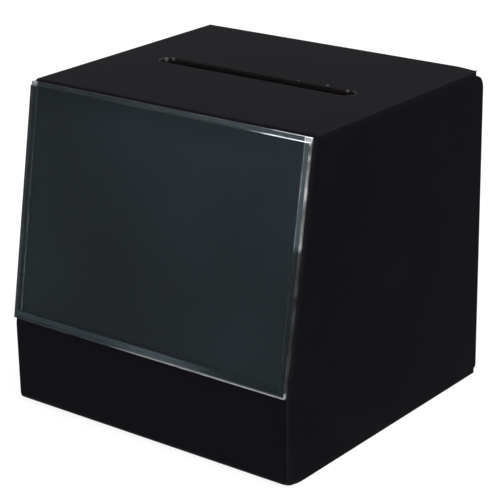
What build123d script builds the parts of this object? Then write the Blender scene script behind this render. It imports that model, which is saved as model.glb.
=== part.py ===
from build123d import *
import os
from math import atan2, cos, degrees, hypot, radians, sin, tan

# A countertop ballot box in bent acrylic sheet, with a clear sign pocket on its
# leaning front and a locked door in its rear. Millimetres. +Z is up, -Y is the
# front, and the origin is the middle of the footprint, on the surface it stands on.

os.makedirs("parts", exist_ok=True)

# Box
width = 190
depth = 184  # from the lower front to the side panels' rear edges
height = 183
sheet = 3  # every black sheet, strip and panel
overrun = 5  # how far a cut runs past what it cuts
fit_gap = 0.05  # between a round or square piece and the hole it sits in

# Leaning front
lean_setback = 25  # top's front edge, behind the lower front
lean_start_height = 47
top_bend_inside = 1.5
lean_bend_inside = 18
base_bend_inside = 1.5

# Rear edges
rear_step = 5  # the top stops this far short of the side panels
base_step = 2  # the bottom stops this far short of them
side_head_radius = 8  # side panels' upper rear corners
side_foot_radius = 2

# Ballot slot
slot_length = 133
slot_width = 9.5
slot_setback = 74.5  # slot's middle, behind the top's front edge
slot_ease = 0.4

# Sign pocket
backing_gauge = 1
rail_gauge = 1
pane_gauge = 1
pocket_inset = 0.5  # from each side of the box
pocket_rise = 4  # above the lean bend
rail_width = 4
bottom_rail_height = 4.2
pane_drop = 2.2  # pane's top edge, below the backing's
pane_ease = 0.25

# Rear strips and door
header_height = 16
sill_height = 14
stop_width = 6
stop_gap = 0.3  # between the shut door and its stops
door_side_gap = 0.8
door_foot_gap = 1
door_head_gap = 1

# Hinge
leaf_gauge = 0.9
leaf_width = 12  # from the pin's centre line
leaf_relief = 0.4  # between a leaf's notch and the other leaf's knuckle
pin_radius = 1.2
pin_end = 0.6  # how far the pin shows at each end
knuckle_stand = 0.3  # between a knuckle and the face its leaf lies on
knuckle_gap = 0.3  # between neighbouring knuckles
knuckle_count = 15
hinge_end_gap = 2.5  # between the hinge and each side panel

# Hinge rivets
rivet_count = 5
rivet_radius = 1.4
rivet_head_radius = 2.6
rivet_head_height = 1.1
rivet_head_ease = 0.5
rivet_tail_radius = 2.2
rivet_tail_height = 0.9
rivet_end_distance = 8  # from the hinge's end to the first rivet

# Cam lock
lock_body_radius = 8
lock_body_flats = 13.5
lock_body_length = 12  # behind the flange
flange_radius = 10
flange_thickness = 2.2
flange_ease = 0.7
flats_gap = 0.1  # between the lock's body and the hole in the door
washer_radius = 10.6
washer_gauge = 0.8
nut_across_flats = 21
nut_height = 3
nut_ease = 0.6
plug_radius = 5.5
plug_recess = 0.3  # plug's face, behind the flange's
plug_end_play = 0.1  # between the stop washer and the lock's body
plug_ease = 0.3
keyway_length = 7
keyway_width = 1.5
keyway_depth = 8
keyway_ward = 2.4
drive_side = 5.4  # square end of the plug
drive_short = 0.1  # how far the square end stops short of the cam's face

# Stop washer and the lug that limits it
lock_turn = 90
stop_washer_radius = 7.6
stop_washer_gauge = 1
stop_notch_radius = 5.9
lug_gap = 0.2
lug_outer_radius = 7.9
lug_height = 0.8
lug_arc = 24  # degrees of rim that the lug takes up
stop_play = 3  # degrees left at each end of the turn

# Cam and its screw
cam_gauge = 1.6
cam_width = 12
cam_corner_radius = 4
cam_hub_gap = 0.8  # from the lock's body to the start of the crank
cam_crank_angle = 45  # degrees, slope of the crank
cam_running_gap = 0.4  # between the cam's end and the sheet it turns behind
cam_lead = 1  # flat end's start, below the sill's top
cam_base_gap = 3  # cam's tip, above the bottom sheet
screw_radius = 2
screw_length = 8  # inside the plug
screw_head_radius = 3.6
screw_head_height = 2.2
screw_head_ease = 0.6
screw_slot_width = 1
screw_slot_depth = 1.1

# Worked out from the sizes above
lean_angle = atan2(lean_setback, height - lean_start_height)
lean_length = hypot(lean_setback, height - lean_start_height)
pocket_depth = backing_gauge + rail_gauge + pane_gauge
pocket_proud = pocket_depth * cos(lean_angle) - (pocket_rise + pane_ease) * sin(lean_angle)
pocket_top = lean_length - pocket_depth * tan(lean_angle)
pocket_width = width - 2 * pocket_inset
rear_y = (depth + pocket_proud) / 2
front_y = rear_y - depth
top_front_y = front_y + lean_setback
face_y = rear_y - rear_step  # outer face of the header, the door and the sill
inner_x = width / 2 - sheet
ceiling_z = height - sheet
sill_top_z = sheet + sill_height
header_foot_z = ceiling_z - header_height
hinge_z = header_foot_z - door_head_gap / 2
knuckle_radius = pin_radius + fit_gap + leaf_gauge
hinge_y = face_y + knuckle_stand + knuckle_radius
hinge_length = width - 2 * (sheet + hinge_end_gap)
door_foot_z = sill_top_z + door_foot_gap
door_head_z = hinge_z - door_head_gap / 2

# The lock's pieces stack inward from the door's outer face, and the cam cranks
# back towards the door, so its flat end turns just behind the door and the sill.
washer_out = -sheet
nut_out = washer_out - washer_gauge
body_end_out = -lock_body_length
stop_washer_out = body_end_out - plug_end_play
cam_hub_out = stop_washer_out - stop_washer_gauge
cam_back_out = cam_hub_out - cam_gauge
cam_end_out = -(sheet + cam_running_gap)
cam_crank = cam_end_out - cam_hub_out
cam_hub_radius = lock_body_radius + cam_hub_gap
cam_flat_start = cam_hub_radius + cam_crank / tan(radians(cam_crank_angle))
lock_z = sill_top_z - cam_lead + cam_flat_start
cam_reach = lock_z - sheet - cam_base_gap


def sheet_line(inset):
    """Corners of the line that lies `inset` inside the wrap's outer face, rear of the top first."""
    top_z = height - inset
    lean_y = front_y + (inset + (top_z - lean_start_height) * sin(lean_angle)) / cos(lean_angle)
    lean_foot_z = lean_start_height - inset * tan(lean_angle / 2)
    return [(lean_y, top_z), (front_y + inset, lean_foot_z), (front_y + inset, inset)]


def bend_radii(outside):
    """Radii of the three bends at a distance `outside` from the sheet's inner face."""
    return [inside + outside for inside in (top_bend_inside, lean_bend_inside, base_bend_inside)]


def rear_plane(out=0, up=0):
    """Plane parallel to the door, `out` from its outer face, seen from behind."""
    return Plane(origin=(0, face_y + out, up), x_dir=(-1, 0, 0), z_dir=(0, 1, 0))


def lean_plane(out=0):
    """Plane on the leaning front, with its origin at the lean bend and its Y up the slope."""
    ahead = -out * cos(lean_angle)
    rise = out * sin(lean_angle)
    origin = (0, front_y + ahead, lean_start_height + rise)
    return Plane(origin=origin, x_dir=(1, 0, 0), z_dir=(0, -cos(lean_angle), sin(lean_angle)))


def hinge_plane(x):
    """Section across the hinge at x, centred on the pin, with Y up."""
    return Plane(origin=(x, hinge_y, hinge_z), x_dir=(0, 1, 0), z_dir=(1, 0, 0))


# Wrap: one sheet bent into the top, the leaning front, the lower front and the bottom
with BuildPart() as wrap_panel:
    with BuildSketch(Plane.YZ.offset(-width / 2)):
        with BuildLine():
            top_rear = (rear_y - rear_step, height)
            top_rear_inner = (rear_y - rear_step, ceiling_z)
            base_rear = (rear_y - base_step, 0)
            base_rear_inner = (rear_y - base_step, sheet)
            FilletPolyline(top_rear, *sheet_line(0), base_rear, radius=bend_radii(sheet))
            FilletPolyline(top_rear_inner, *sheet_line(sheet), base_rear_inner, radius=bend_radii(0))
            Line(top_rear, top_rear_inner)
            Line(base_rear, base_rear_inner)
        make_face()
    extrude(amount=width)
    slot_y = top_front_y + slot_setback
    with BuildSketch(Plane.XY.offset(height + overrun)):
        with Locations((0, slot_y)):
            SlotOverall(slot_length, slot_width)
    extrude(amount=-(sheet + 2 * overrun), mode=Mode.SUBTRACT)
    top_face = wrap_panel.faces().sort_by(Axis.Z)[-1]
    chamfer(top_face.inner_wires()[0].edges(), slot_ease)
wrap_panel.part.label = "wrap_panel"
export_step(wrap_panel.part, "parts/wrap_panel.step")

# Side panels: they fill the wrap's ends, and their rounded rear corners stand past it
for side, start_x in (("left", -width / 2), ("right", inner_x)):
    with BuildPart() as side_panel:
        with BuildSketch(Plane.YZ.offset(start_x)):
            with BuildLine():
                corners = [(rear_y, ceiling_z), *sheet_line(sheet), (rear_y, sheet)]
                corner_radii = [side_head_radius, *bend_radii(0), side_foot_radius]
                FilletPolyline(*corners, radius=corner_radii, close=True)
            make_face()
        extrude(amount=sheet)
    side_panel.part.label = f"{side}_side_panel"
    export_step(side_panel.part, f"parts/{side}_side_panel.step")

# Rear header: carries the hinge under the rear of the top
with BuildPart() as rear_header:
    with BuildSketch(rear_plane()):
        with Locations((0, header_foot_z)):
            Rectangle(2 * inner_x, header_height, align=(Align.CENTER, Align.MIN))
    extrude(amount=-sheet)
    rivet_span = hinge_length - 2 * rivet_end_distance
    rivet_pitch = rivet_span / (rivet_count - 1)
    rivet_rise = (knuckle_radius + leaf_relief + leaf_width) / 2
    with BuildSketch(rear_plane(overrun)):
        with Locations((0, hinge_z + rivet_rise)):
            with GridLocations(rivet_pitch, 0, rivet_count, 1):
                Circle(rivet_radius + fit_gap)
    extrude(amount=-(sheet + 2 * overrun), mode=Mode.SUBTRACT)
rear_header.part.label = "rear_header"
export_step(rear_header.part, "parts/rear_header.step")

# Rear sill: stands on the bottom, and the cam catches behind it
with BuildPart() as rear_sill:
    with BuildSketch(rear_plane()):
        with Locations((0, sheet)):
            Rectangle(2 * inner_x, sill_height, align=(Align.CENTER, Align.MIN))
    extrude(amount=-sheet)
rear_sill.part.label = "rear_sill"
export_step(rear_sill.part, "parts/rear_sill.step")

# Door stops: strips on the side panels, just inside the shut door
for side, sign in (("left", -1), ("right", 1)):
    with BuildPart() as door_stop:
        with BuildSketch(Plane.XY.offset(sheet)):
            with Locations((sign * (inner_x - stop_width / 2), face_y - sheet - stop_gap)):
                Rectangle(stop_width, sheet, align=(Align.CENTER, Align.MAX))
        extrude(amount=ceiling_z - sheet)
    door_stop.part.label = f"door_stop_{side}"
    export_step(door_stop.part, f"parts/door_stop_{side}.step")

# Rear door, with the lock's double-D hole and the hinge's rivet holes
with BuildPart() as rear_door:
    with BuildSketch(rear_plane()):
        with Locations((0, door_foot_z)):
            door_width = 2 * (inner_x - door_side_gap)
            Rectangle(door_width, door_head_z - door_foot_z, align=(Align.CENTER, Align.MIN))
    extrude(amount=-sheet)
    with BuildSketch(rear_plane(overrun, lock_z)):
        Circle(lock_body_radius + flats_gap)
        Rectangle(lock_body_flats + 2 * flats_gap, 2 * flange_radius, mode=Mode.INTERSECT)
    extrude(amount=-(sheet + 2 * overrun), mode=Mode.SUBTRACT)
    with BuildSketch(rear_plane(overrun)):
        with Locations((0, hinge_z - rivet_rise)):
            with GridLocations(rivet_pitch, 0, rivet_count, 1):
                Circle(rivet_radius + fit_gap)
    extrude(amount=-(sheet + 2 * overrun), mode=Mode.SUBTRACT)
rear_door.part.label = "rear_door"
export_step(rear_door.part, "parts/rear_door.step")

# Hinge leaves: the even knuckles belong to the header's leaf, the odd ones to the door's
knuckle_pitch = hinge_length / knuckle_count
strip_out = -(knuckle_stand + knuckle_radius)
for owner, first_knuckle, up in (("body", 0, 1), ("door", 1, -1)):
    leaf_edge = up * leaf_width
    notch_edge = up * (knuckle_radius + leaf_relief)
    with BuildPart() as hinge_leaf:
        with BuildSketch(rear_plane()):
            with Locations((0, hinge_z + (leaf_edge + notch_edge) / 2)):
                Rectangle(hinge_length, leaf_width - knuckle_radius - leaf_relief)
        extrude(amount=leaf_gauge)
        for knuckle in range(first_knuckle, knuckle_count, 2):
            knuckle_x = -hinge_length / 2 + knuckle * knuckle_pitch + knuckle_gap / 2
            with BuildSketch(hinge_plane(knuckle_x)):
                Circle(knuckle_radius)
                with Locations((strip_out + leaf_gauge / 2, leaf_edge / 2)):
                    Rectangle(leaf_gauge, leaf_width)
                Circle(pin_radius + fit_gap, mode=Mode.SUBTRACT)
            extrude(amount=knuckle_pitch - knuckle_gap)
        with BuildSketch(rear_plane(leaf_gauge + overrun)):
            with Locations((0, hinge_z + up * rivet_rise)):
                with GridLocations(rivet_pitch, 0, rivet_count, 1):
                    Circle(rivet_radius + fit_gap)
        extrude(amount=-(leaf_gauge + 2 * overrun), mode=Mode.SUBTRACT)
    hinge_leaf.part.label = f"hinge_{owner}_leaf"
    export_step(hinge_leaf.part, f"parts/hinge_{owner}_leaf.step")

# Hinge pin
with BuildPart() as hinge_pin:
    with BuildSketch(hinge_plane(-hinge_length / 2 - pin_end)):
        Circle(pin_radius)
    extrude(amount=hinge_length + 2 * pin_end)
    chamfer(hinge_pin.faces().filter_by(Axis.X).edges(), pin_end / 2)
hinge_pin.part.label = "hinge_pin"
export_step(hinge_pin.part, "parts/hinge_pin.step")

# Hinge rivets: one row through the header, one through the door
for owner, up in (("body", 1), ("door", -1)):
    row_z = hinge_z + up * rivet_rise
    with BuildPart() as hinge_rivets:
        with BuildSketch(rear_plane(leaf_gauge, row_z)):
            with GridLocations(rivet_pitch, 0, rivet_count, 1):
                Circle(rivet_head_radius)
        extrude(amount=rivet_head_height)
        head_rims = hinge_rivets.faces().sort_by(Axis.Y)[-rivet_count:].edges()
        chamfer(head_rims, rivet_head_ease)
        with BuildSketch(rear_plane(leaf_gauge, row_z)):
            with GridLocations(rivet_pitch, 0, rivet_count, 1):
                Circle(rivet_radius)
        extrude(amount=-(leaf_gauge + sheet))
        with BuildSketch(rear_plane(-sheet, row_z)):
            with GridLocations(rivet_pitch, 0, rivet_count, 1):
                Circle(rivet_tail_radius)
        extrude(amount=-rivet_tail_height)
    hinge_rivets.part.label = f"hinge_{owner}_rivets"
    export_step(hinge_rivets.part, f"parts/hinge_{owner}_rivets.step")

# Lock housing: flange outside the door, flatted body through it, lug on its inner end
with BuildPart() as lock_housing:
    with BuildSketch(rear_plane(0, lock_z)):
        Circle(flange_radius)
    extrude(amount=flange_thickness)
    chamfer(lock_housing.faces().sort_by(Axis.Y)[-1].edges(), flange_ease)
    with BuildSketch(rear_plane(0, lock_z)):
        Circle(lock_body_radius)
        Rectangle(lock_body_flats, 2 * flange_radius, mode=Mode.INTERSECT)
    extrude(amount=-lock_body_length)
    with BuildSketch(rear_plane(body_end_out, lock_z)):
        with BuildLine():
            lug_arc_outer = CenterArc((0, 0), lug_outer_radius, 90 - lug_arc / 2, lug_arc)
            lug_arc_inner = CenterArc((0, 0), stop_notch_radius + lug_gap, 90 - lug_arc / 2, lug_arc)
            Line(lug_arc_outer @ 0, lug_arc_inner @ 0)
            Line(lug_arc_outer @ 1, lug_arc_inner @ 1)
        make_face()
    extrude(amount=-lug_height)
    with BuildSketch(rear_plane(flange_thickness + overrun, lock_z)):
        Circle(plug_radius + fit_gap)
    extrude(amount=-(flange_thickness + lock_body_length + 2 * overrun), mode=Mode.SUBTRACT)
lock_housing.part.label = "lock_housing"
export_step(lock_housing.part, "parts/lock_housing.step")

# Lock washer, between the door and the nut
with BuildPart() as lock_washer:
    with BuildSketch(rear_plane(washer_out, lock_z)):
        Circle(washer_radius)
        Circle(lock_body_radius + flats_gap, mode=Mode.SUBTRACT)
    extrude(amount=-washer_gauge)
lock_washer.part.label = "lock_washer"
export_step(lock_washer.part, "parts/lock_washer.step")

# Lock nut
with BuildPart() as lock_nut:
    with BuildSketch(rear_plane(nut_out, lock_z)):
        RegularPolygon(nut_across_flats / 2, 6, major_radius=False)
    extrude(amount=-nut_height)
    chamfer(lock_nut.faces().sort_by(Axis.Y)[0].edges(), nut_ease)
    with BuildSketch(rear_plane(nut_out + overrun, lock_z)):
        Circle(lock_body_radius + fit_gap)
    extrude(amount=-(nut_height + 2 * overrun), mode=Mode.SUBTRACT)
lock_nut.part.label = "lock_nut"
export_step(lock_nut.part, "parts/lock_nut.step")

# Lock plug: keyway in its face, square drive on its inner end, hole for the screw
with BuildPart() as lock_plug:
    plug_face_out = flange_thickness - plug_recess
    drive_end_out = cam_back_out + drive_short
    with BuildSketch(rear_plane(plug_face_out, lock_z)):
        Circle(plug_radius)
    extrude(amount=-(plug_face_out - stop_washer_out))
    chamfer(lock_plug.faces().sort_by(Axis.Y)[-1].edges(), plug_ease)
    with BuildSketch(rear_plane(stop_washer_out, lock_z)):
        Rectangle(drive_side, drive_side)
    extrude(amount=-(stop_washer_out - drive_end_out))
    with BuildSketch(rear_plane(plug_face_out, lock_z)):
        Rectangle(keyway_length, keyway_width)
        with Locations((-keyway_length / 2 + keyway_ward, keyway_width / 2)):
            Rectangle(keyway_ward, keyway_width)
    extrude(amount=-keyway_depth, mode=Mode.SUBTRACT)
    with BuildSketch(rear_plane(drive_end_out, lock_z)):
        Circle(screw_radius + fit_gap)
    extrude(amount=screw_length, mode=Mode.SUBTRACT)
lock_plug.part.label = "lock_plug"
export_step(lock_plug.part, "parts/lock_plug.step")

# Stop washer: turns with the plug, and the lug limits it to a quarter turn
with BuildPart() as lock_stop_washer:
    with BuildSketch(rear_plane(stop_washer_out, lock_z)):
        Circle(stop_washer_radius)
        with BuildLine():
            # Seen from behind, the cam turns anticlockwise, so the notch opens back from the lug.
            notch_start = 90 + lug_arc / 2 + stop_play
            notch_arc = -(lock_turn + lug_arc + 2 * stop_play)
            notch_inner = CenterArc((0, 0), stop_notch_radius, notch_start, notch_arc)
            notch_outer = CenterArc((0, 0), stop_washer_radius + overrun, notch_start, notch_arc)
            Line(notch_inner @ 0, notch_outer @ 0)
            Line(notch_inner @ 1, notch_outer @ 1)
        make_face(mode=Mode.SUBTRACT)
        Rectangle(drive_side + 2 * fit_gap, drive_side + 2 * fit_gap, mode=Mode.SUBTRACT)
    extrude(amount=-stop_washer_gauge)
lock_stop_washer.part.label = "lock_stop_washer"
export_step(lock_stop_washer.part, "parts/lock_stop_washer.step")

# Cam: cranked strip, rest pose to the side, cut to its outline from behind
with BuildPart() as lock_cam:
    with BuildSketch(Plane.XY.offset(lock_z)):
        with BuildLine():
            bend_shift = cam_gauge * tan(radians(cam_crank_angle / 2))
            hub_front_y = face_y + cam_hub_out
            end_front_y = face_y + cam_end_out
            Polyline(
                (-cam_hub_radius, hub_front_y),
                (cam_hub_radius, hub_front_y),
                (cam_flat_start, end_front_y),
                (cam_reach, end_front_y),
                (cam_reach, end_front_y - cam_gauge),
                (cam_flat_start + bend_shift, end_front_y - cam_gauge),
                (cam_hub_radius + bend_shift, hub_front_y - cam_gauge),
                (-cam_hub_radius, hub_front_y - cam_gauge),
                close=True,
            )
        make_face()
    extrude(amount=cam_hub_radius, both=True)
    with BuildSketch(rear_plane(overrun, lock_z)):
        Circle(cam_hub_radius)
        with Locations((-cam_reach / 2, 0)):
            RectangleRounded(cam_reach, cam_width, cam_corner_radius)
    extrude(amount=-(overrun + 2 * lock_body_length), mode=Mode.INTERSECT)
    with BuildSketch(rear_plane(cam_hub_out, lock_z)):
        Rectangle(drive_side + 2 * fit_gap, drive_side + 2 * fit_gap)
    extrude(amount=-(cam_gauge + overrun), mode=Mode.SUBTRACT)
lock_cam.part.label = "lock_cam"
export_step(lock_cam.part, "parts/lock_cam.step")

# Cam screw: clamps the cam on the square drive
with BuildPart() as cam_screw:
    with BuildSketch(rear_plane(cam_back_out, lock_z)):
        Circle(screw_head_radius)
    extrude(amount=-screw_head_height)
    chamfer(cam_screw.faces().sort_by(Axis.Y)[0].edges(), screw_head_ease)
    with BuildSketch(rear_plane(cam_back_out - screw_head_height, lock_z)):
        Rectangle(2 * screw_head_radius, screw_slot_width)
    extrude(amount=screw_slot_depth, mode=Mode.SUBTRACT)
    with BuildSketch(rear_plane(cam_back_out, lock_z)):
        Circle(screw_radius)
    extrude(amount=screw_length)
cam_screw.part.label = "cam_screw"
export_step(cam_screw.part, "parts/cam_screw.step")

# Sign pocket: a clear backing, three spacer rails and a clear pane, laid up on the slope
with BuildPart() as sign_backing:
    with BuildSketch(lean_plane()):
        with Locations((0, pocket_rise)):
            Rectangle(pocket_width, pocket_top - pocket_rise, align=(Align.CENTER, Align.MIN))
    extrude(amount=backing_gauge)
sign_backing.part.label = "sign_backing"
export_step(sign_backing.part, "parts/sign_backing.step")

rail_foot = pocket_rise + bottom_rail_height
for side, sign in (("left", -1), ("right", 1)):
    with BuildPart() as sign_rail:
        with BuildSketch(lean_plane(backing_gauge)):
            with Locations((sign * (pocket_width - rail_width) / 2, rail_foot)):
                Rectangle(rail_width, pocket_top - rail_foot, align=(Align.CENTER, Align.MIN))
        extrude(amount=rail_gauge)
    sign_rail.part.label = f"sign_rail_{side}"
    export_step(sign_rail.part, f"parts/sign_rail_{side}.step")

with BuildPart() as sign_rail_bottom:
    with BuildSketch(lean_plane(backing_gauge)):
        with Locations((0, pocket_rise)):
            Rectangle(pocket_width, bottom_rail_height, align=(Align.CENTER, Align.MIN))
    extrude(amount=rail_gauge)
sign_rail_bottom.part.label = "sign_rail_bottom"
export_step(sign_rail_bottom.part, "parts/sign_rail_bottom.step")

with BuildPart() as sign_pane:
    with BuildSketch(lean_plane(backing_gauge + rail_gauge)):
        with Locations((0, pocket_rise)):
            pane_height = pocket_top - pane_drop - pocket_rise
            Rectangle(pocket_width, pane_height, align=(Align.CENTER, Align.MIN))
    extrude(amount=pane_gauge)
    chamfer(sign_pane.faces().sort_by(Axis((0, 0, 0), lean_plane().z_dir))[-1].edges(), pane_ease)
sign_pane.part.label = "sign_pane"
export_step(sign_pane.part, "parts/sign_pane.step")

print(f"lean {degrees(lean_angle):.2f} degrees, pocket {pocket_width:.1f} by {pocket_top - pocket_rise:.1f}")
print(f"hinge pin at y {hinge_y:.3f}, z {hinge_z:.3f}, lock at z {lock_z:.3f}, face at y {face_y:.3f}")
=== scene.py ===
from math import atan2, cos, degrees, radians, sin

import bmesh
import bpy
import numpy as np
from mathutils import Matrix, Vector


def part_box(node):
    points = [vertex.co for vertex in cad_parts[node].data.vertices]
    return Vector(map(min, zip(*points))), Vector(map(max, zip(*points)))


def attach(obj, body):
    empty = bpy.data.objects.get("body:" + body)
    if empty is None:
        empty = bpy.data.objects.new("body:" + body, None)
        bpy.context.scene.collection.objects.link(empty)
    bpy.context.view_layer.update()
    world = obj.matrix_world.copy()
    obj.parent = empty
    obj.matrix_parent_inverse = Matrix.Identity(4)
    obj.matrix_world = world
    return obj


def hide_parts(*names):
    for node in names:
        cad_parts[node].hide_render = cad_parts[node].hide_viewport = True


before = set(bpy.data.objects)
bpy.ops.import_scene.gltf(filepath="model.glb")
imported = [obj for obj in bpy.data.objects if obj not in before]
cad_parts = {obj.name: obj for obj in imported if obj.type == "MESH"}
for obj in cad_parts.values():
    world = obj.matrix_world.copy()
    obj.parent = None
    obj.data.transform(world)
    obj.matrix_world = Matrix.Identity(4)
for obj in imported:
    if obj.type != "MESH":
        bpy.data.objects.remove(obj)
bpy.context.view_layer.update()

# %% [markdown]
# # A counter ballot box in black acrylic
# The box is a black acrylic sheet bent into a top, a leaning front, a lower front and a bottom. It has two flat
# side panels, a clear sign pocket on the leaning front, and a locked door behind. Its shapes come from the CAD
# frame, so this lesson is mostly about the camera, the light and the finishes. Two pieces are worked out with
# numpy: the bent sheet, whose right corners are eased by hand, and the lock's threaded body.

MM = 0.001  # one millimetre in Blender's metres

# %% [markdown]
# ## Camera
# The photograph was taken from a little to the right of the front and from above. The view was fitted to the
# box's corners, so the camera is given by two angles, a tilt and a distance from the point it looks at. A long
# lens at about one metre gives the same mild perspective. Building the three axes by hand keeps the tilt exact,
# where a Track To constraint would always keep the camera level.

# %% Camera
VIEW_AZIMUTH = radians(38.081)
VIEW_ELEVATION = radians(20.3064)
VIEW_ROLL = radians(-0.9628)
VIEW_DISTANCE = 1.06731
VIEW_TARGET = Vector((0.000978, 0.001091, 0.083570))
SENSOR_WIDTH = 36.0
FRAME_PIXELS = 500
FOCAL_PIXELS = 1894.94

back = Vector((
    sin(VIEW_AZIMUTH) * cos(VIEW_ELEVATION),
    -cos(VIEW_AZIMUTH) * cos(VIEW_ELEVATION),
    sin(VIEW_ELEVATION),
))
right = Vector((0, 0, 1)).cross(back).normalized()
up = back.cross(right)
tilted_right = cos(VIEW_ROLL) * right + sin(VIEW_ROLL) * up
tilted_up = cos(VIEW_ROLL) * up - sin(VIEW_ROLL) * right

camera_data = bpy.data.cameras.new("photo_camera")
camera_data.sensor_width = SENSOR_WIDTH
camera_data.lens = FOCAL_PIXELS * SENSOR_WIDTH / FRAME_PIXELS
camera = bpy.data.objects.new("photo_camera", camera_data)
camera_axes = Matrix((tilted_right, tilted_up, back)).transposed().to_4x4()
camera.matrix_world = Matrix.Translation(VIEW_TARGET + VIEW_DISTANCE * back) @ camera_axes

scene = bpy.context.scene
scene.collection.objects.link(camera)
scene.camera = camera
camera_place = [round(value, 3) for value in camera.matrix_world.translation]
print("lens, mm:", round(camera_data.lens, 1), "camera at", camera_place)

# %% [markdown]
# ## Writing shader maths as Python
# A finish is a tree of nodes, and most of its nodes are plain arithmetic. A small class that wraps a socket and
# overloads the operators lets that arithmetic be written as an expression, and each operator adds its Math node.
# A second class holds one tree and adds every other kind of node, settings first, then values and links.


# %% A socket that can be calculated with
class Signal:
    """A number that varies over a surface. Arithmetic on it adds Math nodes to its tree."""

    def __init__(self, recipe, socket):
        self.recipe, self.socket = recipe, socket

    def maths(self, operation, *others):
        """This signal and others through one Math node."""
        values = dict(enumerate((self, *others)))
        return self.recipe.add("ShaderNodeMath", {"operation": operation}, values)

    def __add__(self, other):
        return self.maths("ADD", other)

    def __mul__(self, other):
        return self.maths("MULTIPLY", other)

    def __sub__(self, other):
        return self.maths("SUBTRACT", other)

    def __truediv__(self, other):
        return self.maths("DIVIDE", other)

    def __pow__(self, other):
        return self.maths("POWER", other)

    def __rsub__(self, other):
        return self * -1 + other

    def __abs__(self):
        return self.maths("ABSOLUTE")

    __radd__ = __add__
    __rmul__ = __mul__

    def least(self, other):
        return self.maths("MINIMUM", other)

    def most(self, other):
        return self.maths("MAXIMUM", other)

    def over(self, limit):
        """1 where the signal is above the limit, otherwise 0."""
        return self.maths("GREATER_THAN", limit)

    def rise(self, start, end):
        """A smooth step from 0 at `start` to 1 at `end`; with end below start it falls."""
        settings = {"interpolation_type": "SMOOTHSTEP"}
        values = {"Value": self, "From Min": start, "From Max": end}
        return self.recipe.add("ShaderNodeMapRange", settings, values)

    def clamped(self):
        return self.recipe.add("ShaderNodeClamp", {}, {"Value": self})


print("a signal knows:", ", ".join(name for name in vars(Signal) if not name.startswith("_")))


# %% A tree that takes its nodes from one method
class Recipe:
    """The node tree of a finish, of the floor or of the world."""

    def __init__(self, tree):
        self.tree = tree
        tree.nodes.clear()

    def add(self, kind, settings=None, values=None, output=0):
        """Add one node: its settings first, then the values or links of its sockets. Returns one output."""
        node = self.tree.nodes.new(kind)
        for name, setting in (settings or {}).items():
            setattr(node, name, setting)
        for name, value in (values or {}).items():
            if isinstance(value, Signal):
                self.tree.links.new(value.socket, node.inputs[name])
            else:
                node.inputs[name].default_value = value
        return Signal(self, node.outputs[output]) if len(node.outputs) else node

    def outputs(self, kind, names, values=None):
        """Add one node and return several of its outputs, by their names."""
        sockets = self.add(kind, {}, values).socket.node.outputs
        return [Signal(self, sockets[name]) for name in names]

    def parts(self, vector):
        """The three components of a vector."""
        return self.outputs("ShaderNodeSeparateXYZ", "XYZ", {"Vector": vector})

    def mixed(self, share, first, second):
        """Two colours mixed: `first` where the share is 0 and `second` where it is 1."""
        first, second = (c if isinstance(c, Signal) else (*c, 1.0) for c in (first, second))
        values = {"Factor": share, 6: first, 7: second}
        return self.add("ShaderNodeMix", {"data_type": "RGBA"}, values, output=2)

    def noise(self, vector, scale=1.0, detail=2.0, roughness=0.5):
        """Soft cloudy values around 0.5, with features 1 / scale of the vector's unit apart."""
        values = {"Vector": vector, "Scale": scale, "Detail": detail, "Roughness": roughness}
        return self.add("ShaderNodeTexNoise", {}, values)

    def bump(self, height, distance):
        """A normal that stands for a relief of `height` times `distance`, which is in metres."""
        return self.add("ShaderNodeBump", {}, {"Height": height, "Distance": distance, "Strength": 1.0})


print("a recipe knows:", ", ".join(name for name in vars(Recipe) if not name.startswith("_")))

# %% [markdown]
# ## Floor
# The photograph has a plain white ground without a visible edge or shadow. The floor here is a wide flat sheet
# that camera rays see as almost pure white. A small part of real diffuse floor is left in it, so the box's soft
# contact shadow stays and the box still stands on something. Rays that pass through the clear pocket see the
# same white. The polished black sheet shows that its surroundings were dim, so rays that a face mirrors see only
# a small share of white: with a share of 1 every black face would turn grey.

# %% Floor
FLOOR_REACH = 14.0  # metres from the middle to the rim
FLOOR_RINGS, FLOOR_SPOKES = 24, 48


def disc_surface(reach, rings, spokes):
    """A flat disc as a grid of rings and spokes: a point is its ring's radius times the spoke's direction.
    The radii grow with the square of the ring's number, so the middle is finest. Returns points and faces."""
    radius = reach * (np.arange(1, rings + 1) / rings) ** 2
    angle = 2 * np.pi * np.arange(spokes) / spokes
    ring, spoke = np.meshgrid(radius, angle, indexing="ij")
    points = np.stack([ring * np.cos(spoke), ring * np.sin(spoke), 0 * ring], axis=-1).reshape(-1, 3)
    row, column = np.meshgrid(np.arange(rings - 1), np.arange(spokes), indexing="ij")
    following = (column + 1) % spokes
    quads = np.stack([row * spokes + column, (row + 1) * spokes + column,
                      (row + 1) * spokes + following, row * spokes + following], axis=-1).reshape(-1, 4)
    hub = len(points)
    first = np.arange(spokes)
    middle = np.stack([np.full(spokes, hub), first, (first + 1) % spokes], axis=-1)
    return np.vstack([points, [[0, 0, 0]]]), quads.tolist() + middle.tolist()


def object_from(name, points, faces, smooth=False):
    """A mesh object at the origin, from arrays of points and faces."""
    mesh = bpy.data.meshes.new(name)
    mesh.from_pydata(np.asarray(points, dtype=float).tolist(), [], faces)
    mesh.polygons.foreach_set("use_smooth", np.full(len(mesh.polygons), smooth))
    mesh.update()
    piece = bpy.data.objects.new(name, mesh)
    scene.collection.objects.link(piece)
    return piece


floor = object_from("studio_floor", *disc_surface(FLOOR_REACH, FLOOR_RINGS, FLOOR_SPOKES))
print("floor faces:", len(floor.data.polygons))

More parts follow.
